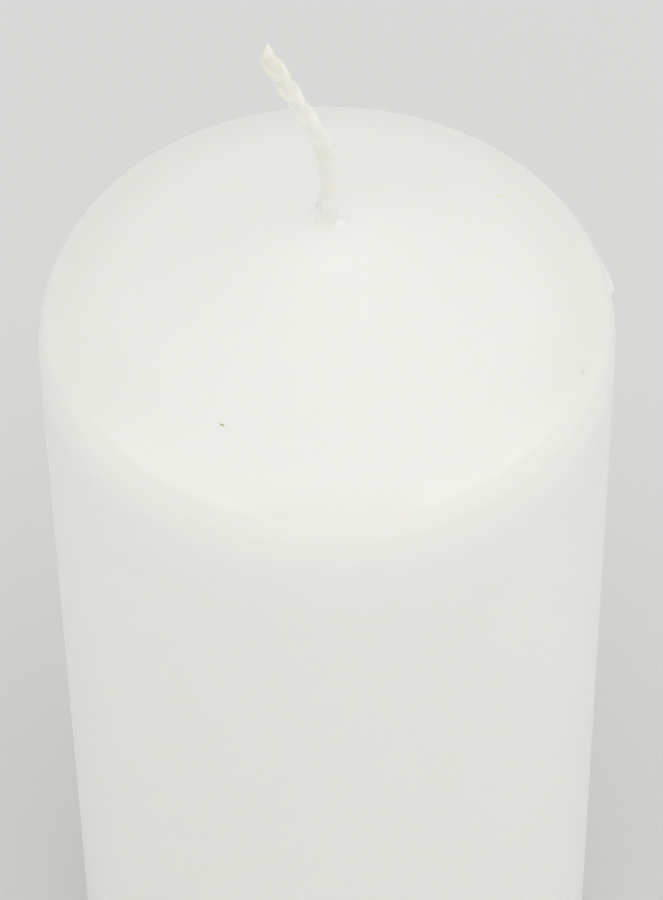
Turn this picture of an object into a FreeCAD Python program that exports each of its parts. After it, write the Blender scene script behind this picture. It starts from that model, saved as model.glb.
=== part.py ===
import FreeCAD, Part
import math
import os
import Sketcher

# A cast pillar candle: one white wax body with a straight side, a rounded shoulder and a
# shallow cone on top, and a flat braided cotton wick that runs through it from base to tip.
#
# Millimetres and degrees.  The origin is the centre of the base, +Z runs up the candle, and
# the free end of the wick leans towards -X.  The wick's three strands lie side by side along X.

SIZES = [
    ("body_radius", 35.0, "outside radius of the straight side"),
    ("wax_height", 150.0, "base to the small flat land round the wick"),
    ("cone_slope", 28.0, "fall of the conical top, degrees below level"),
    ("shoulder_radius", 4.4, "round between the side and the cone"),
    ("land_radius", 2.8, "radius of the flat land round the wick"),
    ("base_edge_radius", 0.8, "round at the edge of the base"),
    ("strand_width", 0.72, "one wick strand along X"),
    ("strand_thickness", 1.2, "one wick strand along Y"),
    ("strand_gap", 0.03, "clear space between neighbouring strands"),
    ("channel_clearance", 0.03, "clear space between the wick and the wax"),
    ("wick_recess", 0.4, "base to the trimmed lower end of the wick"),
    ("wick_rise", 9.5, "upright part of the wick above the land"),
    ("bend_radius", 16.0, "centre-line radius of the wick's bend"),
    ("bend_angle", 25.0, "lean of the wick's end away from upright, degrees"),
    ("tip_run", 13.2, "straight end of the middle strand above the bend"),
    ("tip_step", 1.2, "how much further each strand reaches along the slanted cut"),
]

STRAND_NAMES = ["wick_strand_a", "wick_strand_b", "wick_strand_c"]
ORIGIN_POINT = (-1, 1)
START, END, CENTRE = 1, 2, 3
# Limits for the script's own checks: mm, mm3, a share of the volume, and mm3.
FLAT_LIMIT = 0.001
LEAST_CUT = 1.0
VOLUME_LIMIT = 0.01
OVERLAP_LIMIT = 1e-6

doc = FreeCAD.newDocument("pillar_candle")
sheet = doc.addObject("Spreadsheet::Sheet", "sizes")
for row, (alias, value, meaning) in enumerate(SIZES, start=1):
    sheet.set("A%d" % row, alias)
    sheet.set("B%d" % row, str(value))
    sheet.set("C%d" % row, meaning)
    sheet.setAlias("B%d" % row, alias)
doc.recompute()


def size(alias):
    """The value that the sheet holds for a driving dimension."""
    return float(sheet.get(alias))


def new_body(label):
    body = doc.addObject("PartDesign::Body", label)
    body.Label = label
    return body


def new_sketch(body, name, plane_role):
    """A sketch on one of the body's own origin planes."""
    sketch = body.newObject("Sketcher::SketchObject", name)
    plane = [item for item in body.Origin.OriginFeatures if item.Role == plane_role][0]
    sketch.AttachmentSupport = (plane, [""])
    sketch.MapMode = "FlatFace"
    return sketch


def point(x, y):
    return FreeCAD.Vector(x, y, 0)


def add_line(sketch, start, end):
    return sketch.addGeometry(Part.LineSegment(point(*start), point(*end)))


def add_arc(sketch, centre, radius, first_angle, last_angle):
    """An anticlockwise arc; the angles are in degrees."""
    circle = Part.Circle(point(*centre), FreeCAD.Vector(0, 0, 1), radius)
    arc = Part.ArcOfCircle(circle, math.radians(first_angle), math.radians(last_angle))
    return sketch.addGeometry(arc)


def bind(sketch, name, expression, kind, *places):
    """Adds a dimension to a sketch and drives it from the sheet."""
    value = float(sketch.evalExpression(expression))
    if kind == "Angle":
        value = math.radians(value)
    index = sketch.addConstraint(Sketcher.Constraint(kind, *places, value))
    sketch.renameConstraint(index, name)
    unit = " * 1 deg" if kind == "Angle" else ""
    sketch.setExpression("Constraints." + name, "(" + expression + ")" + unit)


def relate(sketch, kind, *places):
    """Adds a relation, such as tangent or horizontal, between two ends or lines."""
    sketch.addConstraint(Sketcher.Constraint(kind, *places))


def outline_round_circles(sketch, corners, radius_expression):
    """The outline that a taut band makes round equal circles.

    corners lists each circle's centre as two expressions, anticlockwise from the corner at
    lower right.  The outline is one arc for each circle, with straight lines between them.
    """
    radius = float(sketch.evalExpression(radius_expression))
    centres = []
    for across, along in corners:
        centres.append((float(sketch.evalExpression(across)), float(sketch.evalExpression(along))))
    count = len(centres)
    normals = []
    for index in range(count):
        here = centres[index]
        there = centres[(index + 1) % count]
        normals.append(math.degrees(math.atan2(there[1] - here[1], there[0] - here[0])) - 90.0)
    arcs = []
    lines = []
    for index in range(count):
        first = normals[index - 1]
        last = normals[index]
        while last <= first:
            last += 360.0
        arcs.append(add_arc(sketch, centres[index], radius, first, last))
        turn = math.radians(normals[index])
        offset = (radius * math.cos(turn), radius * math.sin(turn))
        ends = []
        for centre in (centres[index], centres[(index + 1) % count]):
            ends.append((centre[0] + offset[0], centre[1] + offset[1]))
        lines.append(add_line(sketch, ends[0], ends[1]))
    for index, (across, along) in enumerate(corners):
        arc = arcs[index]
        name = "corner_%d" % index
        bind(sketch, name + "_x", across, "DistanceX", *ORIGIN_POINT, arc, CENTRE)
        bind(sketch, name + "_y", along, "DistanceY", *ORIGIN_POINT, arc, CENTRE)
        bind(sketch, name + "_radius", radius_expression, "Radius", arc)
        relate(sketch, "Tangent", arc, END, lines[index], START)
        relate(sketch, "Tangent", lines[index], END, arcs[(index + 1) % count], START)


def make_wax_body():
    """The cast wax: a turned profile with the channel that the wick was cast into."""
    body = new_body("wax_body")
    profile = new_sketch(body, "wax_profile", "XZ_Plane")
    radius = size("body_radius")
    height = size("wax_height")
    slope = size("cone_slope")
    shoulder = size("shoulder_radius")
    land = size("land_radius")
    turn = math.radians(slope)
    crease_radius = radius - shoulder * (1 - math.sin(turn))
    crease_height = height - (crease_radius - land) * math.tan(turn)
    side_height = crease_height - shoulder * math.cos(turn)

    base = add_line(profile, (0, 0), (radius, 0))
    side = add_line(profile, (radius, 0), (radius, side_height))
    centre = (radius - shoulder, side_height)
    round_ = add_arc(profile, centre, shoulder, 0, 90 - slope)
    cone = add_line(profile, (crease_radius, crease_height), (land, height))
    top = add_line(profile, (land, height), (0, height))
    axis = add_line(profile, (0, height), (0, 0))

    relate(profile, "Coincident", base, START, *ORIGIN_POINT)
    relate(profile, "Coincident", base, END, side, START)
    relate(profile, "Tangent", side, END, round_, START)
    relate(profile, "Tangent", round_, END, cone, START)
    relate(profile, "Coincident", cone, END, top, START)
    relate(profile, "Coincident", top, END, axis, START)
    relate(profile, "Coincident", axis, END, base, START)
    relate(profile, "Horizontal", base)
    relate(profile, "Vertical", side)
    relate(profile, "Horizontal", top)
    relate(profile, "Vertical", axis)
    bind(profile, "radius", "sizes.body_radius", "DistanceX", base, START, base, END)
    bind(profile, "height", "sizes.wax_height", "DistanceY", axis, END, axis, START)
    bind(profile, "land", "sizes.land_radius", "DistanceX", top, END, top, START)
    bind(profile, "shoulder", "sizes.shoulder_radius", "Radius", round_)
    bind(profile, "slope", "180 - sizes.cone_slope", "Angle", cone)

    turned = body.newObject("PartDesign::Revolution", "turned_wax")
    turned.Profile = profile
    turned.ReferenceAxis = (profile, ["V_Axis"])
    turned.Angle = 360
    doc.recompute()

    base_edges = []
    for number, edge in enumerate(turned.Shape.Edges, start=1):
        if edge.BoundBox.ZMax < FLAT_LIMIT and isinstance(edge.Curve, Part.Circle):
            base_edges.append("Edge%d" % number)
    rounding = body.newObject("PartDesign::Fillet", "base_edge")
    rounding.Base = (turned, base_edges)
    rounding.setExpression("Radius", "sizes.base_edge_radius")
    doc.recompute()
    volume_before = body.Shape.Volume

    slot = new_sketch(body, "channel_outline", "XY_Plane")
    reach_x = "(sizes.strand_width + sizes.strand_gap)"
    reach_y = "((sizes.strand_thickness - sizes.strand_width) / 2)"
    corners = [(reach_x, "-" + reach_y), (reach_x, reach_y),
               ("-" + reach_x, reach_y), ("-" + reach_x, "-" + reach_y)]
    outline_round_circles(slot, corners, "sizes.strand_width / 2 + sizes.channel_clearance")
    channel = body.newObject("PartDesign::Pocket", "wick_channel")
    channel.Profile = slot
    channel.Type = "ThroughAll"
    channel.Reversed = True
    body.Tip = channel
    doc.recompute()
    removed = volume_before - body.Shape.Volume
    print("channel removes %.1f mm3 over %.1f mm" % (removed, height))
    if removed < LEAST_CUT:
        raise RuntimeError("the wick channel cuts nothing")
    return body


def make_strand(label, place):
    """One strand of the wick.  place is -1, 0 or 1: left, middle or right of the braid."""
    body = new_body(label)
    offset = "(%d * (sizes.strand_width + sizes.strand_gap))" % place

    section = new_sketch(body, label + "_section", "XY_Plane")
    section.setExpression(".AttachmentOffset.Base.z", "sizes.wick_recess")
    reach_y = "((sizes.strand_thickness - sizes.strand_width) / 2)"
    corners = [(offset, "-" + reach_y), (offset, reach_y)]
    outline_round_circles(section, corners, "sizes.strand_width / 2")

    route = new_sketch(body, label + "_route", "XZ_Plane")
    beside = place * (size("strand_width") + size("strand_gap"))
    bend_height = size("wax_height") + size("wick_rise")
    bend_radius = size("bend_radius") + beside
    lean = math.radians(size("bend_angle"))
    tip_run = size("tip_run") + place * size("tip_step")
    centre = (-size("bend_radius"), bend_height)
    bend_end = (centre[0] + bend_radius * math.cos(lean), centre[1] + bend_radius * math.sin(lean))
    tip = (bend_end[0] - tip_run * math.sin(lean), bend_end[1] + tip_run * math.cos(lean))
    upright = add_line(route, (beside, size("wick_recess")), (beside, bend_height))
    bend = add_arc(route, centre, bend_radius, 0, size("bend_angle"))
    free_end = add_line(route, bend_end, tip)

    relate(route, "Vertical", upright)
    relate(route, "Tangent", upright, END, bend, START)
    relate(route, "Tangent", bend, END, free_end, START)
    bind(route, "recess", "sizes.wick_recess", "DistanceY", *ORIGIN_POINT, upright, START)
    bind(route, "bend_x", "sizes.bend_radius", "DistanceX", bend, CENTRE, *ORIGIN_POINT)
    bind(route, "bend_height", "sizes.wax_height + sizes.wick_rise", "DistanceY",
         *ORIGIN_POINT, bend, CENTRE)
    bind(route, "bend_radius", "sizes.bend_radius + " + offset, "Radius", bend)
    bind(route, "lean", "90 + sizes.bend_angle", "Angle", free_end)
    bind(route, "tip_run", "sizes.tip_run + %d * sizes.tip_step" % place, "Distance", free_end)
    doc.recompute()

    strand = body.newObject("PartDesign::AdditivePipe", label + "_sweep")
    strand.Profile = section
    strand.Spine = (route, [])
    body.Tip = strand
    doc.recompute()

    width = size("strand_width")
    area = math.pi * width ** 2 / 4 + width * (size("strand_thickness") - width)
    swept = area * route.Shape.Length
    print("%s: length %.2f mm, volume %.2f mm3, section times length %.2f mm3"
          % (label, route.Shape.Length, body.Shape.Volume, swept))
    if abs(body.Shape.Volume - swept) > VOLUME_LIMIT * swept:
        raise RuntimeError(label + " has the wrong volume")
    return body


bodies = [make_wax_body()]
for strand_index, strand_name in enumerate(STRAND_NAMES):
    bodies.append(make_strand(strand_name, strand_index - 1))
doc.recompute()

for item in doc.Objects:
    if "Invalid" in item.State or "Error" in item.State:
        raise RuntimeError("%s did not compute: %s" % (item.Label, item.State))
for item in doc.Objects:
    if item.TypeId == "Sketcher::SketchObject" and item.solve() != 0:
        raise RuntimeError("%s is not solved" % item.Label)
for body in bodies:
    if body.Shape.isNull() or not body.Shape.isValid() or len(body.Shape.Solids) != 1:
        raise RuntimeError("%s is not one valid solid" % body.Label)
for first_index, first in enumerate(bodies):
    for second in bodies[first_index + 1:]:
        shared = first.Shape.common(second.Shape).Volume
        if shared > OVERLAP_LIMIT:
            raise RuntimeError("%s overlaps %s by %.4f mm3" % (first.Label, second.Label, shared))

os.makedirs("parts", exist_ok=True)
for body in bodies:
    box = body.Shape.BoundBox
    print("%s: volume %.1f mm3, x %.2f to %.2f, y %.2f to %.2f, z %.2f to %.2f"
          % (body.Label, body.Shape.Volume, box.XMin, box.XMax, box.YMin, box.YMax,
             box.ZMin, box.ZMax))
    body.Shape.exportStep(os.path.join("parts", body.Label + ".step"))
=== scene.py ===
import math

import bmesh
import bpy
import numpy as np
from mathutils import Matrix, Vector


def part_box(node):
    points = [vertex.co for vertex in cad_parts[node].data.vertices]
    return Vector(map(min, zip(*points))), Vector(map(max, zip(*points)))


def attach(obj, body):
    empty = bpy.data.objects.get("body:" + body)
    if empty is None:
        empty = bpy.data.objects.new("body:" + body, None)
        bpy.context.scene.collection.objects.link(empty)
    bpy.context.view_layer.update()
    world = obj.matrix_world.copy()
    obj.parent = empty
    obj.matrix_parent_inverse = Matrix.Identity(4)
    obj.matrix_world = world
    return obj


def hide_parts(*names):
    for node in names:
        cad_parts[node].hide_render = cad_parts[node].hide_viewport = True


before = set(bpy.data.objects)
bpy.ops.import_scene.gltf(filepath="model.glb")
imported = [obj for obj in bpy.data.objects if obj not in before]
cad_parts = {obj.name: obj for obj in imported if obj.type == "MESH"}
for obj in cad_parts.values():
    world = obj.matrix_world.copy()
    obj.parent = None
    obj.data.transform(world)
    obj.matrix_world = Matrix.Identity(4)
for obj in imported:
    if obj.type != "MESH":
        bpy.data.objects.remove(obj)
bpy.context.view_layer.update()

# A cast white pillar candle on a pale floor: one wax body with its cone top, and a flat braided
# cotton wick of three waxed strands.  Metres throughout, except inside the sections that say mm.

MM = 0.001
BODY = "root"
WAX_NODE = "wax_body"
STRAND_NODES = ["wick_strand_a", "wick_strand_b", "wick_strand_c"]

# ---------------------------------------------------------------- sizes read from the frame, in mm


def mesh_points(mesh):
    """A mesh's vertices, in its own units."""
    points = np.zeros(len(mesh.vertices) * 3)
    mesh.vertices.foreach_get("co", points)
    return points.reshape(-1, 3)


wax_points = mesh_points(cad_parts[WAX_NODE].data) / MM
wax_radii = np.hypot(wax_points[:, 0], wax_points[:, 1])
RADIUS = float(wax_radii.max())
TOP = float(wax_points[:, 2].max())
LAND_RADIUS = float(wax_radii[wax_points[:, 2] > TOP - 0.01].max())
SIDE_TOP = float(wax_points[wax_radii > RADIUS - 0.01][:, 2].max())
BASE_ROUND = float(wax_points[wax_radii > RADIUS - 0.01][:, 2].min())
WICK_FOOT = min(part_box(node)[0].z for node in STRAND_NODES) / MM

# The cone's slope, and the shoulder radius that joins the cone to the side with no corner.
SLOPE = math.radians(28.0)
SHOULDER = (TOP - SIDE_TOP - (RADIUS - LAND_RADIUS) * math.tan(SLOPE)) / (
    math.cos(SLOPE) - (1 - math.sin(SLOPE)) * math.tan(SLOPE))
CREASE_RADIUS = RADIUS - SHOULDER * (1 - math.sin(SLOPE))


# ---------------------------------------------------------------- small helpers


def smoothstep(low, high, value):
    """0 below low, 1 above high, and smooth between them."""
    t = np.clip((value - low) / (high - low), 0.0, 1.0)
    return t * t * (3 - 2 * t)


def mark(x, y, rise, centre, reach, turn_degrees):
    """A smooth hill round centre, or a dent; reach is its size along and across its own turn."""
    turn = math.radians(turn_degrees)
    dx = x - centre[0]
    dy = y - centre[1]
    along = (dx * math.cos(turn) + dy * math.sin(turn)) / reach[0]
    across = (dy * math.cos(turn) - dx * math.sin(turn)) / reach[1]
    return rise * np.exp(-(along ** 2 + across ** 2))


def grid_object(name, rings, tube):
    """A closed mesh object from rings of points, in mm.

    A tube has its two ends capped; otherwise the last ring joins the first.
    """
    rows, columns, _ = rings.shape
    index = np.arange(rows * columns).reshape(rows, columns)
    nexts = np.roll(index, -1, axis=1)
    above = np.roll(index, -1, axis=0)
    above_nexts = np.roll(nexts, -1, axis=0)
    count = rows - 1 if tube else rows
    quads = np.stack([index, nexts, above_nexts, above], axis=-1)[:count].reshape(-1, 4)
    faces = [tuple(quad) for quad in quads.tolist()]
    points = rings.reshape(-1, 3)
    if tube:
        middle = [rings[0].mean(axis=0), rings[-1].mean(axis=0)]
        points = np.vstack([points, middle])
        foot = rows * columns
        for a, b in zip(index[0].tolist(), nexts[0].tolist()):
            faces.append((b, a, foot))
        for a, b in zip(index[-1].tolist(), nexts[-1].tolist()):
            faces.append((a, b, foot + 1))
    mesh = bpy.data.meshes.new(name)
    mesh.from_pydata((points * MM).tolist(), [], faces)
    mesh.polygons.foreach_set("use_smooth", [True] * len(mesh.polygons))
    mesh.update()
    piece = bpy.data.objects.new(name, mesh)
    bpy.context.scene.collection.objects.link(piece)
    return piece


# ---------------------------------------------------------------- the wax body, in mm

# Even columns of points round the wax; the sliver of flash has finer ones.
COLUMNS = 320
# The sliver of flash on the rim: where it runs round the axis, how high up the shoulder's arc it
# sits and how much higher it ends, how far it stands out, and half its width.
SLIVER_FROM = math.radians(20.5)
SLIVER_TO = math.radians(7.2)
SLIVER_LEVEL = math.radians(11.0)
SLIVER_CLIMB = 0.05
SLIVER_HEIGHT = 0.52
SLIVER_HALF_WIDTH = 0.72
# The shares of its length over which it rises out of the wax and breaks off.
SLIVER_RISE = (0.0, 0.8)
SLIVER_BREAK = (0.93, 1.0)
# The angle between its finer columns, and how far they run past its two ends.
SLIVER_FINE_STEP = math.radians(0.16)
SLIVER_MARGIN = math.radians(1.2)
# The flat wick's channel, as half its width and half its thickness, at the land and at the base.
MOUTH_CHANNEL = (0.74, 0.42)
FOOT_CHANNEL = (1.20, 0.78)
CHANNEL_SQUARENESS = 2.6
# How far to the right of the axis the wick leaves the wax.
MOUTH_SHIFT = 0.16
# How gently the cone runs into the land round the wick, and the side into the shoulder.
LAND_SOFTNESS = 0.5
SHOULDER_EASE = 1.4
# The stretch below the side's top where the easing shows, which has finer rings.
EASED_STRETCH = 6
# How much fuller the cast wax is than a plain cylinder and arc, on the side and the shoulder.
SIDE_FULLNESS = 0.05
SHOULDER_FULLNESS = 0.16
# The shallow dish under the base, its ripple, and the cone's slight sag.
BASE_DISH = 0.25
DISH_RIPPLE = 0.12
CONE_SAG = 0.05
# The shares of the way out along the base over which the dish levels out, and the heights over
# which the side's fullness and waves come in.
DISH_LEVELS = (0.55, 0.9)
WAVES_COME = (0.0, 6.0)
# Relief marks, each a rise in mm, a centre, its reach along and across, and its turn in degrees:
# a rub on the rim, then round the wick a bead, a swelling in front, a dent on the right, the scar
# of the wick plug with its lip, and a groove behind.
RIM_RUB = (-0.10, (30.4, -10.4), (0.9, 0.5), 70.0)
ROOT_MARKS = [
    (0.40, (1.62, -0.10), (0.62, 0.66), 20.0),
    (0.10, (0.2, -1.45), (1.0, 0.40), 0.0),
    (-0.14, (2.68, 0.85), (1.30, 0.42), 85.0),
    (-0.14, (-1.74, 2.00), (0.85, 0.26), -52.0),
    (0.07, (-2.30, 1.35), (0.80, 0.30), -52.0),
    (-0.16, (-0.98, 2.95), (0.26, 1.50), 0.0),
]
# The faint uneven ring round the marks: its height, radius and width.
ROOT_RING = (0.04, 2.6, 0.5)


def wax_angles():
    """Even angles round the axis, with finer ones where the sliver of flash stands out."""
    even = np.arange(COLUMNS) * 2 * math.pi / COLUMNS
    low = SLIVER_TO - SLIVER_MARGIN
    high = SLIVER_FROM + SLIVER_MARGIN
    fine = np.arange(low, high, SLIVER_FINE_STEP)
    rest = even[(even < low - SLIVER_FINE_STEP) | (even > high)]
    return np.sort(np.concatenate([rest, fine]))


def channel_radius(angle, half_width, half_thickness):
    """Distance from the axis to the wall of the flat wick's channel, in the direction angle."""
    across = np.abs(np.cos(angle) / half_width) ** CHANNEL_SQUARENESS
    through = np.abs(np.sin(angle) / half_thickness) ** CHANNEL_SQUARENESS
    return (across + through) ** (-1 / CHANNEL_SQUARENESS)


def casting_waves(angle, height):
    """The faint unevenness that a cast side has, as a radial distance."""
    slow = np.sin(3 * angle + 0.7) * np.sin(height / 23.0 + 1.1)
    middle = np.sin(7 * angle - height / 31.0 + 2.3)
    fine = np.sin(13 * angle + height / 9.0) * np.sin(height / 14.0 - 5 * angle)
    return 0.020 * slow + 0.010 * middle + 0.006 * fine


def cone_height(radius):
    """Height of the cone, which levels out smoothly into the land round the wick."""
    fall = LAND_SOFTNESS * np.log1p(np.exp((radius - LAND_RADIUS) / LAND_SOFTNESS))
    return TOP - math.tan(SLOPE) * fall


def shoulder_radius(height):
    """Radius of the shoulder, which starts to draw in gently a little below the side's top."""
    climb = SHOULDER_EASE * np.log1p(np.exp((height - SIDE_TOP) / SHOULDER_EASE))
    return RADIUS - SHOULDER + np.sqrt(SHOULDER ** 2 - climb ** 2)


def root_relief(x, y):
    """Height of the wax marks round the wick."""
    height = sum(mark(x, y, *values) for values in ROOT_MARKS)
    ring_height, ring_radius, ring_width = ROOT_RING
    ring = np.exp(-((np.hypot(x, y) - ring_radius) / ring_width) ** 2)
    return height + ring_height * np.sin(4 * np.arctan2(y, x) + 0.5) * ring


def make_wax():
    """The wax as rings: out along the base, up the side, in over the cone and down the channel."""
    angles = wax_angles()
    cosine = np.cos(angles)
    sine = np.sin(angles)
    rings = []

    def add_ring(radius, height, shift=0.0):
        radius = np.broadcast_to(radius, angles.shape)
        height = np.broadcast_to(height, angles.shape)
        rings.append(np.stack([radius * cosine + shift, radius * sine, height], axis=-1))

    foot = channel_radius(angles, *FOOT_CHANNEL)
    base_edge = RADIUS - BASE_ROUND
    for share in np.linspace(0.0, 1.0, 16) ** 1.5:
        radius = foot + (base_edge - foot) * share
        hollow = BASE_DISH * (1 - smoothstep(*DISH_LEVELS, share))
        ripple = DISH_RIPPLE * hollow * np.sin(2 * angles + 0.4) * math.sin(9 * share)
        add_ring(radius, hollow + ripple)
    for turn in np.linspace(0, math.pi / 2, 7)[1:]:
        add_ring(base_edge + BASE_ROUND * math.sin(turn), BASE_ROUND * (1 - math.cos(turn)))
    straight_top = SIDE_TOP - EASED_STRETCH
    straight = np.linspace(BASE_ROUND, straight_top, 58)[1:]
    easing = np.linspace(straight_top, SIDE_TOP, 16)[1:]
    for height in np.concatenate([straight, easing]):
        fade = smoothstep(*WAVES_COME, height)
        wave = (SIDE_FULLNESS + casting_waves(angles, height)) * fade
        add_ring(shoulder_radius(height) + wave, height)

    sliver_share = (SLIVER_FROM - angles) / (SLIVER_FROM - SLIVER_TO)
    sliver_break = smoothstep(*SLIVER_BREAK, sliver_share)
    sliver_rise = smoothstep(*SLIVER_RISE, sliver_share) * (1 - sliver_break)
    arc = math.pi / 2 - SLOPE
    for turn in np.linspace(0, arc, 40)[1:]:
        level = SLIVER_LEVEL + SLIVER_CLIMB * (sliver_share - 0.5)
        across = (turn - level) * SHOULDER / SLIVER_HALF_WIDTH
        # How far the wax stands out from the arc, straight outwards.
        proud = SLIVER_HEIGHT * sliver_rise * np.exp(-np.abs(across) ** 3)
        proud += SHOULDER_FULLNESS * math.sin(math.pi * turn / arc) ** 2
        height = SIDE_TOP + SHOULDER * math.sin(turn)
        wave = SIDE_FULLNESS + casting_waves(angles, SIDE_TOP)
        radius = shoulder_radius(height) + (proud + wave) * math.cos(turn)
        add_ring(radius, height + proud * math.sin(turn))

    for share in np.linspace(0, 1, 52)[1:-1]:
        radius = CREASE_RADIUS + (LAND_RADIUS - CREASE_RADIUS) * share
        sag = CONE_SAG * math.sin(math.pi * share) * np.sin(2 * angles + 0.6)
        rub = mark(radius * cosine, radius * sine, *RIM_RUB)
        relief = sag + rub + root_relief(radius * cosine, radius * sine)
        add_ring(radius, cone_height(radius) + relief)

    mouth = channel_radius(angles, *MOUTH_CHANNEL)
    for share in np.linspace(1.0, 0.0, 26):
        radius = mouth + (LAND_RADIUS - mouth) * share
        shift = MOUTH_SHIFT * (1 - share)
        relief = root_relief(radius * cosine + shift, radius * sine)
        add_ring(radius, cone_height(radius) + relief, shift)
    mouth_height = rings[-1][:, 2]
    # The channel comes back to the axis just below its mouth.
    for share in np.linspace(0, 1, 26)[1:-1]:
        height = mouth_height + (BASE_DISH - mouth_height) * share
        add_ring(mouth + (foot - mouth) * share, height, MOUTH_SHIFT * (1 - share) ** 8)
    return grid_object("wax_candle", np.array(rings), tube=False)


# ---------------------------------------------------------------- the wick, in mm

# The wick's centre line from a little below the land upwards: x, height above the land, and y.
WICK_ROUTE = [
    (0.00, -6.0, 0.00),
    (0.06, -2.0, 0.00),
    (0.20, 0.8, 0.00),
    (0.30, 2.4, 0.00),
    (0.40, 5.6, -0.05),
    (0.35, 9.1, -0.10),
    (0.05, 12.0, -0.10),
    (-0.66, 15.0, -0.10),
    (-1.84, 17.8, 0.00),
    (-3.38, 21.2, 0.10),
    (-5.10, 25.2, 0.25),
    (-6.38, 28.0, 0.35),
    (-7.86, 31.2, 0.40),
]
# The braid: the length of one full turn, a height above the land where strand a crosses furthest
# to one side, and how far the strands swing across the wick's width and through its thickness.
BRAID_PITCH = 11.8
BRAID_CREST = 25.2
BRAID_REACH = 0.53
BRAID_DEPTH = 0.30
# Each strand: half sizes of its section, its yarns and their twist.
STRAND_HALF_WIDTH = 0.47
STRAND_HALF_DEPTH = 0.34
YARNS = 5
YARN_PITCH = 5.2
YARN_GROOVE = 0.12
RING_POINTS = 40
# The braid is packed tight by wax near the candle, loosens over these heights above the land,
# and thins towards its tip over the next ones.
LOOSENS = (9.0, 20.0)
THINS = (25.5, 31.0)
TIP_THINNING = 0.28
# Shares of the braid's reach and depth where it is tight, what loosening adds to them, and how
# much thicker the coat is where the braid is tight.
TIGHT_REACH = 0.72
LOOSE_REACH = 0.38
TIGHT_DEPTH = 0.60
LOOSE_DEPTH = 0.40
TIGHT_SWELL = 0.40
# The slanted cut at the tip: a point on it, and the way its face looks.
CUT_POINT = (-6.78, 0.0, 28.75)
CUT_FACE = (-0.951, 0.0, 0.311)
# How close to the cutting plane a vertex counts as on it, in metres.
CUT_TOLERANCE = 1e-7


def smooth_curve(points, step):
    """A centripetal Catmull-Rom curve through the points, at about even steps."""
    points = [np.array(p, float) for p in points]
    points = [2 * points[0] - points[1]] + points + [2 * points[-1] - points[-2]]
    path = []
    for p0, p1, p2, p3 in zip(points, points[1:], points[2:], points[3:]):
        count = max(2, int(np.linalg.norm(p2 - p1) / step))
        t1 = np.linalg.norm(p1 - p0) ** 0.5
        t2 = t1 + np.linalg.norm(p2 - p1) ** 0.5
        t3 = t2 + np.linalg.norm(p3 - p2) ** 0.5
        for t in np.linspace(t1, t2, count, endpoint=False):
            a1 = p0 + (p1 - p0) * t / t1
            a2 = p1 + (p2 - p1) * (t - t1) / (t2 - t1)
            a3 = p2 + (p3 - p2) * (t - t2) / (t3 - t2)
            b1 = a1 + (a2 - a1) * t / t2
            b2 = a2 + (a3 - a2) * (t - t1) / (t3 - t1)
            path.append(b1 + (b2 - b1) * (t - t1) / (t2 - t1))
    path.append(points[-2])
    return np.array(path)


def wick_centre_line():
    """Points up the whole wick: coarse steps inside the wax and fine ones where it shows."""
    shown = smooth_curve([(x, y, TOP + z) for x, z, y in WICK_ROUTE], 0.12)
    hidden_heights = np.arange(WICK_FOOT, shown[0][2], 0.5)
    hidden = np.stack([0 * hidden_heights, 0 * hidden_heights, hidden_heights], axis=-1)
    return np.vstack([hidden, shown])


def trim(piece, gap):
    """Cuts a piece of wick along the slanted face at the tip, gap below it, and closes the end."""
    mesh = bmesh.new()
    mesh.from_mesh(piece.data)
    face = Vector(CUT_FACE).normalized()
    place = Vector(CUT_POINT) + Vector((0.0, 0.0, TOP)) - face * gap
    everything = mesh.verts[:] + mesh.edges[:] + mesh.faces[:]
    bmesh.ops.bisect_plane(mesh, geom=everything, dist=CUT_TOLERANCE, plane_co=place * MM,
                           plane_no=face, clear_outer=True)
    rim = [edge for edge in mesh.edges if edge.is_boundary]
    for edge in rim:
        edge.smooth = False
    cap = bmesh.ops.holes_fill(mesh, edges=rim, sides=0)["faces"]
    for flat in cap:
        flat.smooth = False
    bmesh.ops.recalc_face_normals(mesh, faces=mesh.faces)
    mesh.to_mesh(piece.data)
    mesh.free()


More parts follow.
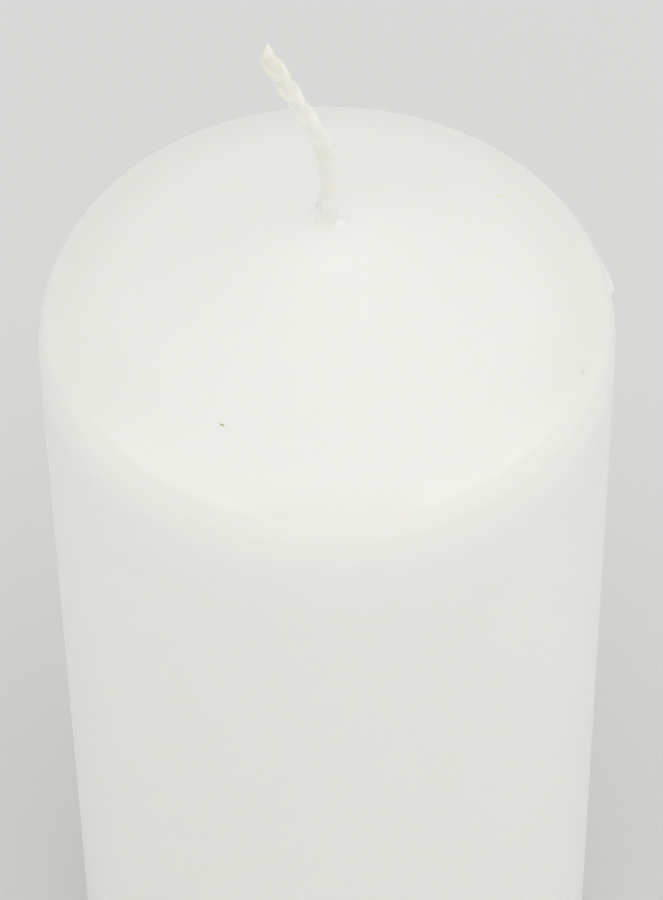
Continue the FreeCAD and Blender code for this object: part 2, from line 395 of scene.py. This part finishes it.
def make_strand(name, place, line, swell=0.0, bottom=None, gap=0.0):
    """One braided strand.  place 0, 1 or 2 sets its share of the braid's turn.

    swell thickens it, more where the braid is tight, bottom is the height where it starts, and
    gap is how far below the cut at the wick's tip it ends.
    """
    tangent = np.gradient(line, axis=0)
    tangent /= np.linalg.norm(tangent, axis=1)[:, None]
    along = np.concatenate([[0], np.cumsum(np.linalg.norm(np.diff(line, axis=0), axis=1))])
    toward = np.array([0.0, -1.0, 0.0])
    # The wick's own width and thickness directions at each point of its line.
    broad = np.cross(tangent, toward)
    broad /= np.linalg.norm(broad, axis=1)[:, None]
    deep = np.cross(broad, tangent)
    above_land = line[:, 2] - TOP
    loose = smoothstep(*LOOSENS, above_land)
    taper = 1 - TIP_THINNING * smoothstep(*THINS, above_land)

    crest = np.interp(BRAID_CREST, above_land, along)
    share = place / len(STRAND_NODES)
    turn = 2 * math.pi * ((along - crest) / BRAID_PITCH + share) + math.pi / 2
    across = BRAID_REACH * np.sin(turn) * (TIGHT_REACH + LOOSE_REACH * loose) * taper
    through = BRAID_DEPTH * np.sin(2 * turn) * (TIGHT_DEPTH + LOOSE_DEPTH * loose)
    centre = line + broad * across[:, None] + deep * through[:, None]

    first = 0 if bottom is None else int(np.nonzero(line[:, 2] > bottom)[0][0])
    run = np.gradient(centre, axis=0)
    run /= np.linalg.norm(run, axis=1)[:, None]
    centre, run, deep, along = (values[first:] for values in (centre, run, deep, along))
    width_way = np.cross(run, deep)
    width_way /= np.linalg.norm(width_way, axis=1)[:, None]
    depth_way = np.cross(width_way, run)

    swell = swell * (1 + TIGHT_SWELL * (1 - loose[first:, None]))
    yarn_turn = 2 * math.pi * along / YARN_PITCH + place
    round_angles = np.arange(RING_POINTS) * 2 * math.pi / RING_POINTS
    lobes = np.abs(np.cos(YARNS / 2 * (round_angles[None, :] + yarn_turn[:, None])))
    scale = (1 - YARN_GROOVE * (1 - lobes) ** 2) * taper[first:, None]
    wide = (STRAND_HALF_WIDTH * scale + swell) * np.cos(round_angles)[None, :]
    deep_reach = (STRAND_HALF_DEPTH * scale + swell) * np.sin(round_angles)[None, :]
    rings = (centre[:, None, :] + width_way[:, None, :] * wide[:, :, None]
             + depth_way[:, None, :] * deep_reach[:, :, None])
    piece = grid_object(name, rings, tube=True)

    # yarn_place: mm along the strand, then the cosine and sine of the place round it.
    values = np.zeros((len(piece.data.vertices), 3), np.float32)
    grid = np.stack([
        np.broadcast_to(along[:, None], scale.shape),
        np.broadcast_to(np.cos(round_angles + 0 * scale), scale.shape),
        np.broadcast_to(np.sin(round_angles + 0 * scale), scale.shape),
    ], axis=-1).reshape(-1, 3)
    values[: len(grid)] = grid
    values[len(grid):, 0] = [along[0], along[-1]]
    attribute = piece.data.attributes.new("yarn_place", "FLOAT_VECTOR", "POINT")
    attribute.data.foreach_set("vector", values.ravel())
    trim(piece, gap)
    return piece


# The coat's thickness before it is softened, which thins it, by passes over its mesh.
COAT_THICKNESS = 0.215
# How far below the land the coat starts, inside the wax.
COAT_ROOT = 1.0
COAT_VOXEL = 0.085
COAT_PASSES = 40
# How much wax covers the strands' ends at the tip.
TIP_COVER = 0.40
# How much the coat is softened at the tip and how much more below, over these heights above the
# land, as the share of the way to its neighbours that each point moves in a pass.
TIP_SOFTENING = 0.46
LOW_SOFTENING = 0.20
SOFTENS = (10.0, 18.0)
# The coat spreads towards its foot from this height above the land, by this share at the land,
# as the cube of the way down, which counts up to this many heights.
FOOT_HEIGHT = 1.0
FOOT_SPREAD = 0.20
FOOT_REACH = 1.3


def relax(mesh, passes):
    """Softens a mesh in place.  The low, waxy part of the wick is softened more than its tip."""
    points = mesh_points(mesh)
    edges = np.zeros(len(mesh.edges) * 2, int)
    mesh.edges.foreach_get("vertices", edges)
    starts, ends = edges.reshape(-1, 2).T
    count = np.bincount(edges, minlength=len(points))[:, None]
    low, high = SOFTENS
    upper = smoothstep(TOP + low, TOP + high, points[:, 2:])
    share = TIP_SOFTENING + LOW_SOFTENING * (1 - upper)
    for _ in range(passes):
        total = np.zeros_like(points)
        for axis in range(3):
            total[:, axis] = np.bincount(starts, points[ends, axis], len(points))
            total[:, axis] += np.bincount(ends, points[starts, axis], len(points))
        points += share * (total / count - points)
    mesh.vertices.foreach_set("co", points.ravel())
    mesh.update()


def spread_foot(mesh):
    """Spreads the coat where it meets the candle, as melted wax climbs a wick."""
    points = mesh_points(mesh)
    drop = np.clip(1 - (points[:, 2] - TOP) / FOOT_HEIGHT, 0.0, FOOT_REACH)
    spread = 1 + FOOT_SPREAD * drop ** 3
    points[:, 0] = MOUTH_SHIFT + (points[:, 0] - MOUTH_SHIFT) * spread
    points[:, 1] *= spread
    mesh.vertices.foreach_set("co", points.ravel())
    mesh.update()


def make_coat(line):
    """The wax that primes the free wick: a skin round the strands that fills their creases."""
    shells = []
    for place in range(len(STRAND_NODES)):
        shell = make_strand("coat_shell_%d" % place, place, line, COAT_THICKNESS, TOP - COAT_ROOT)
        shell.data.transform(Matrix.Scale(1 / MM, 4))
        shells.append(shell)
    coat = shells[0]
    coat.name = "wick_wax_coat"
    with bpy.context.temp_override(active_object=coat, selected_editable_objects=shells):
        bpy.ops.object.join()
    remesh = coat.modifiers.new("one_skin", "REMESH")
    remesh.mode = "VOXEL"
    remesh.voxel_size = COAT_VOXEL
    bpy.context.view_layer.update()
    graph = bpy.context.evaluated_depsgraph_get()
    mesh = bpy.data.meshes.new_from_object(coat.evaluated_get(graph))
    coat.modifiers.clear()
    coat.data = mesh
    mesh.name = "wick_wax_coat"
    relax(mesh, COAT_PASSES)
    spread_foot(mesh)
    mesh.transform(Matrix.Scale(MM, 4))
    mesh.polygons.foreach_set("use_smooth", [True] * len(mesh.polygons))
    return coat


# ---------------------------------------------------------------- materials


class Nodes:
    """Adds nodes to a material with short calls."""

    def __init__(self, name):
        self.material = bpy.data.materials.new(name)
        self.material.use_nodes = True
        self.tree = self.material.node_tree
        self.shader = self.tree.nodes["Principled BSDF"]

    def add(self, kind, **settings):
        """A new node with these settings."""
        node = self.tree.nodes.new(kind)
        for key, value in settings.items():
            setattr(node, key, value)
        return node

    def link(self, start, end):
        self.tree.links.new(start, end)

    def noise(self, vector, scale, detail=2.0, roughness=0.5):
        """Soft noise with scale waves to a unit of the vector."""
        node = self.add("ShaderNodeTexNoise")
        node.inputs["Scale"].default_value = scale
        node.inputs["Detail"].default_value = detail
        node.inputs["Roughness"].default_value = roughness
        self.link(vector, node.inputs["Vector"])
        return node.outputs["Fac"]

    def remap(self, value, low, high, new_low, new_high):
        """A value that runs smoothly from new_low to new_high as value runs from low to high."""
        node = self.add("ShaderNodeMapRange", interpolation_type="SMOOTHSTEP")
        node.inputs["From Min"].default_value = low
        node.inputs["From Max"].default_value = high
        node.inputs["To Min"].default_value = new_low
        node.inputs["To Max"].default_value = new_high
        self.link(value, node.inputs["Value"])
        return node.outputs["Result"]

    def span(self, value, span_mm, new_low, new_high, start_mm=0.0):
        """The same over a span in mm, counted from start_mm."""
        low, high = span_mm
        return self.remap(value, (start_mm + low) * MM, (start_mm + high) * MM, new_low, new_high)

    def blend(self, share, first, second):
        """A value that runs from first to second as share runs from 0 to 1."""
        node = self.add("ShaderNodeMix", data_type="FLOAT")
        self.link(share, node.inputs["Factor"])
        self.link(first, node.inputs["A"])
        self.link(second, node.inputs["B"])
        return node.outputs["Result"]

    def combine(self, operation, first, second):
        """The result of a Math operation on two values."""
        node = self.add("ShaderNodeMath", operation=operation)
        self.link(first, node.inputs[0])
        self.link(second, node.inputs[1])
        return node.outputs["Value"]

    def dim(self, colour, share):
        """The colour times share."""
        node = self.add("ShaderNodeVectorMath", operation="SCALE")
        self.link(colour, node.inputs[0])
        self.link(share, node.inputs["Scale"])
        return node.outputs["Vector"]

    def mix(self, share, first, second):
        """A colour that runs from first to second, which are colours or sockets."""
        node = self.add("ShaderNodeMix", data_type="RGBA")
        self.link(share, node.inputs["Factor"])
        for key, value in (("A", first), ("B", second)):
            socket = [s for s in node.inputs if s.name == key and s.type == "RGBA"][0]
            if isinstance(value, tuple):
                socket.default_value = (*value, 1.0)
            else:
                self.link(value, socket)
        return [s for s in node.outputs if s.type == "RGBA"][0]

    def axis_distance(self, vector):
        """How far a place is from the candle's axis."""
        flat = self.add("ShaderNodeVectorMath", operation="MULTIPLY")
        self.link(vector, flat.inputs[0])
        flat.inputs[1].default_value = (1.0, 1.0, 0.0)
        length = self.add("ShaderNodeVectorMath", operation="LENGTH")
        self.link(flat.outputs["Vector"], length.inputs[0])
        return length.outputs["Value"]

    def ellipsoid(self, vector, centre, half_sizes, turn_degrees, strength):
        """strength at the middle of an ellipsoid placed in mm, fading to 0 at its surface."""
        node = self.add("ShaderNodeMapping", vector_type="TEXTURE")
        node.inputs["Location"].default_value = Vector(centre) * MM
        node.inputs["Rotation"].default_value = (0.0, 0.0, math.radians(turn_degrees))
        node.inputs["Scale"].default_value = Vector(half_sizes) * MM
        self.link(vector, node.inputs["Vector"])
        length = self.add("ShaderNodeVectorMath", operation="LENGTH")
        self.link(node.outputs["Vector"], length.inputs[0])
        return self.remap(length.outputs["Value"], 0.2, 1.0, strength, 0.0)

    def bump(self, height, distance):
        """Fine relief that is distance metres deep."""
        node = self.add("ShaderNodeBump")
        node.inputs["Strength"].default_value = 1.0
        node.inputs["Distance"].default_value = distance
        self.link(height, node.inputs["Height"])
        self.link(node.outputs["Normal"], self.shader.inputs["Normal"])


WAX_COLOUR = (0.911, 0.917, 0.874)
WAX_DEEP_COLOUR = (0.906, 0.908, 0.866)
# The painted glow: a lighter, warmer colour below the rim that stands in for light through the
# wax.
WAX_PAINTED_GLOW_COLOUR = (0.958, 0.957, 0.895)
# Painted shade, as shares of the wax's colour: at the rim of the cone, past the crease in the
# middle of the front and beside it, at the back of the cone, low and high on the side; and the
# painted light that the side's left and right edges gain.
RIM_SHADE = 0.925
CREASE_SLOW_SHADE = 0.945
CREASE_QUICK_SHADE = 0.935
BACK_SHADE = 0.978
LOW_SIDE_SHADE = 0.977
HIGH_SIDE_SHADE = 0.998
EDGE_PAINTED_LIGHT = 0.030
# How far the quick fall replaces the slow one beside the middle of the front.
FLANK_SHARE = 0.8
# Where those shades change, in mm: from the crease outwards for the two falls, with how far inside
# it the rim's starts; then to either side of the axis, and from the front to the back.
RIM_DEPTH = 10.0
SLOW_SPAN = (-4.5, 0.5)
QUICK_SPAN = (-0.6, 0.5)
FLANK_SPAN = (6.0, 13.0)
FRONT_SPAN = (-22.0, -10.0)
BACK_SPAN = (-8.0, 15.0)
EDGE_SPAN = (-34.0, -16.0)
# In mm above the side's top: where the side's painted shade lightens, where it gives way to the
# cone's, and where the painted glow, a brighter band painted below the rim, comes and goes.
SIDE_SPAN = (-60.0, 0.0)
SIDE_END_SPAN = (-2.5, 2.8)
BAND_RISE_SPAN = (-15.0, -3.0)
BAND_FALL_SPAN = (-2.0, 2.8)

# Marks in the wax, each an ellipsoid: centre in mm, with its height above the land, half sizes in
# mm, turn about Z in degrees, colour and strength.  A caught brown fibre, faint specks and a rub,
# a darker spot over the dent of the rub on the rim, then round the wick painted shade in the scar
# of the wick plug, in the groove behind and in the dent on the right, and a painted highlight on
# the bead.
WAX_MARKS = [
    ((-12.40, -21.28, -11.6), (0.46, 0.14, 0.34), -28.0, (0.42, 0.32, 0.10), 1.0),
    ((21.25, 14.55, -12.2), (0.70, 0.50, 0.60), -20.0, (0.83, 0.83, 0.66), 0.75),
    ((7.92, -17.45, -8.7), (0.50, 0.12, 0.40), 20.0, (0.72, 0.72, 0.71), 0.25),
    ((27.49, -8.87, -13.9), (0.16, 0.16, 0.30), 0.0, (0.60, 0.60, 0.58), 0.35),
    ((17.57, -30.27, -25.5), (0.18, 0.18, 0.18), 0.0, (0.62, 0.62, 0.60), 0.30),
    ((12.65, -32.63, -35.2), (0.18, 0.18, 0.18), 0.0, (0.62, 0.62, 0.60), 0.25),
    ((30.46, -10.53, -15.7), (0.85, 0.30, 0.80), 70.0, (0.66, 0.67, 0.66), 0.38),
    ((-1.72, 2.00, -0.1), (0.95, 0.26, 0.90), -52.0, (0.78, 0.79, 0.76), 0.35),
    ((-0.98, 2.95, -0.3), (0.38, 2.00, 1.20), 0.0, (0.74, 0.75, 0.72), 0.60),
    ((2.60, 0.90, -0.1), (1.50, 0.52, 1.00), 85.0, (0.80, 0.81, 0.78), 0.35),
    ((1.45, -0.15, 0.3), (1.15, 1.00, 0.90), 20.0, (0.965, 0.965, 0.935), 0.80),
]

# The wick's cotton and its wax coat, then the floor.
COTTON_DARK = (0.85, 0.84, 0.76)
COTTON_LIGHT = (0.90, 0.90, 0.84)
COTTON_WAXED = (0.89, 0.89, 0.85)
COAT_THIN_COLOUR = (0.887, 0.884, 0.830)
COAT_THICK_COLOUR = (0.899, 0.897, 0.850)
COAT_TIP_COLOUR = (0.862, 0.856, 0.775)
PAPER_DARK = (0.745, 0.752, 0.742)
PAPER_LIGHT = (0.755, 0.760, 0.752)
# The painted shade on the floor round the candle's foot.
PAPER_PAINTED_SHADE_COLOUR = (0.695, 0.700, 0.675)
# Where the painted shade on the floor is darkest: under the candle, a little away from the room's
# brighter right.
FLOOR_SHADE_PLACE = (-0.015, 0.0, 0.0)
FLOOR_SHADE_REACH = (0.03, 0.13)
FLOOR_HALF = 4.0

# How light walks in the wax: its share of each colour's reach, the reach in metres, and where it
# starts to walk, in mm from the axis, so that the wick's foot keeps a clean edge.
WAX_WALK = (1.0, 0.93, 0.82)
WAX_WALK_REACH = 0.005
WAX_WALK_FROM = (1.5, 5.5)
# The same in the wick's cotton and its coat, which starts in mm above the land.
WICK_WALK = (1.0, 0.92, 0.75)
COTTON_WALK_REACH = 0.0004
COAT_WALK_REACH = 0.0006
COAT_WALK_FROM = (1.0, 4.0)
# How much of the light walks in the cotton and in the coat.
COTTON_WALK_SHARE = 0.5
COAT_WALK_SHARE = 0.8
# Roughness, from one end of each material's noise to the other, and how glossy the wax is.
WAX_ROUGHNESS = (0.33, 0.36)
COTTON_ROUGHNESS = (0.68, 0.42)
COAT_ROUGHNESS = (0.52, 0.40)
PAPER_ROUGHNESS = 0.9
PAPER_GLOSS = 0.1
WAX_IOR = 1.44
WAX_GLOSS = 0.6
# Where the coat is white like the candle, and where the yellower cotton shows through it, in mm
# above the land.
COAT_WHITE_SPAN = (0.5, 6.5)
COAT_DRY_SPAN = (22.0, 29.0)
# Depths of the fine relief of the wax's pores, the cotton's fibres and the coat, in metres.
PORE_DEPTH = 0.000002
FIBRE_DEPTH = 0.00005
COAT_GRAIN_DEPTH = 0.00004


def painted_wax_shade(nodes, place):
    """The painted shade on the wax's colour round the rim of the cone and down the side: 1 is
    none.
    """
    radius = nodes.axis_distance(place)
    parts = nodes.add("ShaderNodeSeparateXYZ")
    nodes.link(place, parts.inputs["Vector"])
    height = parts.outputs["Z"]
    sideways = nodes.add("ShaderNodeMath", operation="ABSOLUTE")
    nodes.link(parts.outputs["X"], sideways.inputs[0])
    # Painted shade: the rim darkens gently all round the cone, and faster past the crease at the
    # front.
    gentle = nodes.remap(radius, (CREASE_RADIUS - RIM_DEPTH) * MM, RADIUS * MM, 1.0, RIM_SHADE)
    slow_fall = nodes.span(radius, SLOW_SPAN, 1.0, CREASE_SLOW_SHADE, CREASE_RADIUS)
    quick_fall = nodes.span(radius, QUICK_SPAN, 1.0, CREASE_QUICK_SHADE, CREASE_RADIUS)
    flank = nodes.span(sideways.outputs["Value"], FLANK_SPAN, 0.0, FLANK_SHARE)
    front = nodes.span(parts.outputs["Y"], FRONT_SPAN, 1.0, 0.0)
    cone = nodes.blend(front, gentle, nodes.blend(flank, slow_fall, quick_fall))
    # Painted shade: the back of the cone is a little darker.
    back = nodes.span(parts.outputs["Y"], BACK_SPAN, 1.0, BACK_SHADE)
    cone = nodes.combine("MULTIPLY", cone, back)
    # Painted shade on the side lightens towards its top, and painted light brightens its edges.
    upper = nodes.span(height, SIDE_SPAN, LOW_SIDE_SHADE, HIGH_SIDE_SHADE, SIDE_TOP)
    edges = nodes.span(parts.outputs["Y"], EDGE_SPAN, 0.0, EDGE_PAINTED_LIGHT)
    side = nodes.combine("ADD", upper, edges)
    below = nodes.span(height, SIDE_END_SPAN, 1.0, 0.0, SIDE_TOP)
    return nodes.blend(below, cone, side)


def painted_rim_glow(nodes, place):
    """Share of the painted glow: a brighter band painted just below the rim, for light through the
    wax.
    """
    parts = nodes.add("ShaderNodeSeparateXYZ")
    nodes.link(place, parts.inputs["Vector"])
    height = parts.outputs["Z"]
    rise = nodes.span(height, BAND_RISE_SPAN, 0.0, 1.0, SIDE_TOP)
    fall = nodes.span(height, BAND_FALL_SPAN, 1.0, 0.0, SIDE_TOP)
    return nodes.combine("MULTIPLY", rise, fall)


def wax_material():
    """White wax that light runs through, except close to the wick."""
    nodes = Nodes("white_wax")
    place = nodes.add("ShaderNodeTexCoord").outputs["Object"]
    clouds = nodes.noise(place, 16.0, 0.0)
    share = nodes.remap(clouds, 0.3, 0.7, 0.0, 1.0)
    colour = nodes.mix(share, WAX_COLOUR, WAX_DEEP_COLOUR)
    # Painted shade and painted light on the wax, then the painted glow below the rim.
    colour = nodes.dim(colour, painted_wax_shade(nodes, place))
    colour = nodes.mix(painted_rim_glow(nodes, place), colour, WAX_PAINTED_GLOW_COLOUR)
    # The marks, with the painted shade and the painted highlight round the wick.
    for (x, y, height), half_sizes, turn, tint, strength in WAX_MARKS:
        spot = nodes.ellipsoid(place, (x, y, TOP + height), half_sizes, turn, strength)
        colour = nodes.mix(spot, colour, tint)
    shader = nodes.shader
    nodes.link(colour, shader.inputs["Base Color"])
    sheen = nodes.remap(nodes.noise(place, 60.0, 1.0), 0.3, 0.7, *WAX_ROUGHNESS)
    nodes.link(sheen, shader.inputs["Roughness"])
    depth = nodes.span(nodes.axis_distance(place), WAX_WALK_FROM, 0.0, 1.0)
    nodes.link(depth, shader.inputs["Subsurface Weight"])
    shader.inputs["Subsurface Radius"].default_value = WAX_WALK
    shader.inputs["Subsurface Scale"].default_value = WAX_WALK_REACH
    shader.inputs["IOR"].default_value = WAX_IOR
    shader.inputs["Specular IOR Level"].default_value = WAX_GLOSS
    pores = nodes.noise(place, 400.0, 1.0)
    nodes.bump(pores, PORE_DEPTH)
    return nodes.material


def wick_material():
    """Cotton yarns with waxy patches, in each strand's own place along it and round it."""
    nodes = Nodes("waxed_cotton")
    place = nodes.add("ShaderNodeAttribute", attribute_name="yarn_place").outputs["Vector"]
    stretch = nodes.add("ShaderNodeMapping")
    stretch.inputs["Scale"].default_value = (0.35, 3.0, 3.0)
    nodes.link(place, stretch.inputs["Vector"])
    fibres = nodes.noise(stretch.outputs["Vector"], 3.0, 5.0, 0.65)
    patches = nodes.noise(place, 0.9, 2.0)
    colour = nodes.mix(nodes.remap(fibres, 0.3, 0.7, 0.0, 1.0), COTTON_DARK, COTTON_LIGHT)
    colour = nodes.mix(nodes.remap(patches, 0.45, 0.65, 0.0, 0.6), colour, COTTON_WAXED)
    shader = nodes.shader
    nodes.link(colour, shader.inputs["Base Color"])
    nodes.link(nodes.remap(patches, 0.4, 0.65, *COTTON_ROUGHNESS), shader.inputs["Roughness"])
    shader.inputs["Subsurface Weight"].default_value = COTTON_WALK_SHARE
    shader.inputs["Subsurface Radius"].default_value = WICK_WALK
    shader.inputs["Subsurface Scale"].default_value = COTTON_WALK_REACH
    nodes.bump(fibres, FIBRE_DEPTH)
    return nodes.material


def coat_material():
    """The wick's wax: white like the candle at its foot, and yellower at its tip."""
    nodes = Nodes("wick_wax")
    place = nodes.add("ShaderNodeTexCoord").outputs["Object"]
    patches = nodes.noise(place, 300.0, 2.0)
    share = nodes.remap(patches, 0.40, 0.62, 0.0, 1.0)
    colour = nodes.mix(share, COAT_THIN_COLOUR, COAT_THICK_COLOUR)
    parts = nodes.add("ShaderNodeSeparateXYZ")
    nodes.link(place, parts.inputs["Vector"])
    low = nodes.span(parts.outputs["Z"], COAT_WHITE_SPAN, 1.0, 0.0, TOP)
    colour = nodes.mix(low, colour, WAX_COLOUR)
    dry = nodes.span(parts.outputs["Z"], COAT_DRY_SPAN, 0.0, 1.0, TOP)
    colour = nodes.mix(dry, colour, COAT_TIP_COLOUR)
    shader = nodes.shader
    nodes.link(colour, shader.inputs["Base Color"])
    nodes.link(nodes.remap(patches, 0.3, 0.7, *COAT_ROUGHNESS), shader.inputs["Roughness"])
    depth = nodes.span(parts.outputs["Z"], COAT_WALK_FROM, 0.0, COAT_WALK_SHARE, TOP)
    nodes.link(depth, shader.inputs["Subsurface Weight"])
    shader.inputs["Subsurface Radius"].default_value = WICK_WALK
    shader.inputs["Subsurface Scale"].default_value = COAT_WALK_REACH
    grain = nodes.noise(place, 2600.0, 4.0, 0.6)
    nodes.bump(grain, COAT_GRAIN_DEPTH)
    return nodes.material


def floor_material():
    """Pale paper, with a painted shade where the candle keeps the room's light off it."""
    nodes = Nodes("pale_floor")
    place = nodes.add("ShaderNodeTexCoord").outputs["Object"]
    share = nodes.remap(nodes.noise(place, 3.0, 2.0), 0.3, 0.7, 0.0, 1.0)
    paper = nodes.mix(share, PAPER_DARK, PAPER_LIGHT)
    radius = nodes.add("ShaderNodeVectorMath", operation="DISTANCE")
    nodes.link(place, radius.inputs[0])
    radius.inputs[1].default_value = FLOOR_SHADE_PLACE
    # Painted shade on the floor round the candle's foot.
    painted_floor_shade = nodes.remap(radius.outputs["Value"], *FLOOR_SHADE_REACH, 1.0, 0.0)
    colour = nodes.mix(painted_floor_shade, paper, PAPER_PAINTED_SHADE_COLOUR)
    nodes.link(colour, nodes.shader.inputs["Base Color"])
    nodes.shader.inputs["Roughness"].default_value = PAPER_ROUGHNESS
    nodes.shader.inputs["Specular IOR Level"].default_value = PAPER_GLOSS
    return nodes.material


# ---------------------------------------------------------------- camera, floor and light

CAMERA_SENSOR_MM = 36.0
CAMERA_LENS_MM = 186.9
CAMERA_ELEVATION = math.radians(50.05)
CAMERA_DISTANCE = 0.5671
CAMERA_SIDE = 0.00137
CAMERA_PITCH = math.radians(51.53)
CAMERA_YAW = math.radians(-0.164)
CAMERA_ROLL = math.radians(-0.752)


def make_camera():
    """A long lens that looks down at the shoulder from in front."""
    data = bpy.data.cameras.new("camera")
    data.sensor_width = CAMERA_SENSOR_MM
    data.lens = CAMERA_LENS_MM
    data.clip_start = 0.01
    data.clip_end = 100.0
    camera = bpy.data.objects.new("camera", data)
    bpy.context.scene.collection.objects.link(camera)
    forward = Vector((math.sin(CAMERA_YAW) * math.cos(CAMERA_PITCH),
                      math.cos(CAMERA_YAW) * math.cos(CAMERA_PITCH),
                      -math.sin(CAMERA_PITCH)))
    right = Vector((math.cos(CAMERA_YAW), -math.sin(CAMERA_YAW), 0.0))
    up = right.cross(forward)
    across = right * math.cos(CAMERA_ROLL) + up * math.sin(CAMERA_ROLL)
    rise = up * math.cos(CAMERA_ROLL) - right * math.sin(CAMERA_ROLL)
    place = Vector((CAMERA_SIDE,
                    -CAMERA_DISTANCE * math.cos(CAMERA_ELEVATION),
                    SIDE_TOP * MM + CAMERA_DISTANCE * math.sin(CAMERA_ELEVATION)))
    camera.matrix_world = Matrix.Translation(place) @ Matrix(
        (across, rise, -forward)).transposed().to_4x4()
    bpy.context.scene.camera = camera


def make_floor():
    """A flat square floor under the candle."""
    half = FLOOR_HALF
    corners = [(-half, -half, 0), (half, -half, 0), (half, half, 0), (-half, half, 0)]
    mesh = bpy.data.meshes.new("floor")
    mesh.from_pydata(corners, [], [(0, 1, 2, 3)])
    floor = bpy.data.objects.new("floor", mesh)
    bpy.context.scene.collection.objects.link(floor)
    mesh.materials.append(floor_material())


# A bright even room, a little brighter in front and on the right, with a soft panel overhead.
ROOM_COLOUR = (1.0, 1.0, 0.995, 1.0)
ROOM_LIGHT = 0.882
ROOM_TILT = (0.055, -0.080, 0.0)
PANEL_SIZE = (2.3, 0.8)
PANEL_POWER = 1.8
PANEL_PLACE = (0.12, -0.30, 1.65)


def make_light():
    """The room, as a background that is brighter towards ROOM_TILT, and the panel facing down."""
    scene = bpy.context.scene
    scene.view_settings.view_transform = "Standard"
    scene.view_settings.look = "None"
    scene.view_settings.exposure = 0.0
    scene.view_settings.gamma = 1.0
    world = bpy.data.worlds.new("soft_room")
    scene.world = world
    world.use_nodes = True
    tree = world.node_tree
    direction = tree.nodes.new("ShaderNodeTexCoord").outputs["Generated"]
    tilt = tree.nodes.new("ShaderNodeVectorMath")
    tilt.operation = "DOT_PRODUCT"
    tilt.inputs[1].default_value = ROOM_TILT
    tree.links.new(direction, tilt.inputs[0])
    strength = tree.nodes.new("ShaderNodeMath")
    strength.operation = "ADD"
    strength.inputs[1].default_value = ROOM_LIGHT
    tree.links.new(tilt.outputs["Value"], strength.inputs[0])
    background = tree.nodes["Background"]
    background.inputs["Color"].default_value = ROOM_COLOUR
    tree.links.new(strength.outputs["Value"], background.inputs["Strength"])
    data = bpy.data.lights.new("soft_panel", "AREA")
    data.shape = "RECTANGLE"
    data.size, data.size_y = PANEL_SIZE
    data.energy = PANEL_POWER
    panel = bpy.data.objects.new("soft_panel", data)
    scene.collection.objects.link(panel)
    panel.location = PANEL_PLACE


# ---------------------------------------------------------------- putting it together

make_camera()
make_floor()
make_light()

wax = make_wax()
wax.data.materials.append(wax_material())
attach(wax, BODY)
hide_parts(WAX_NODE)

line = wick_centre_line()
waxed_cotton = wick_material()
coat = make_coat(line)
coat.data.materials.append(coat_material())
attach(coat, BODY)
for place, node in enumerate(STRAND_NODES):
    strand = make_strand("braided_" + node, place, line, gap=TIP_COVER)
    strand.data.materials.append(waxed_cotton)
    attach(strand, BODY)
    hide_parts(node)
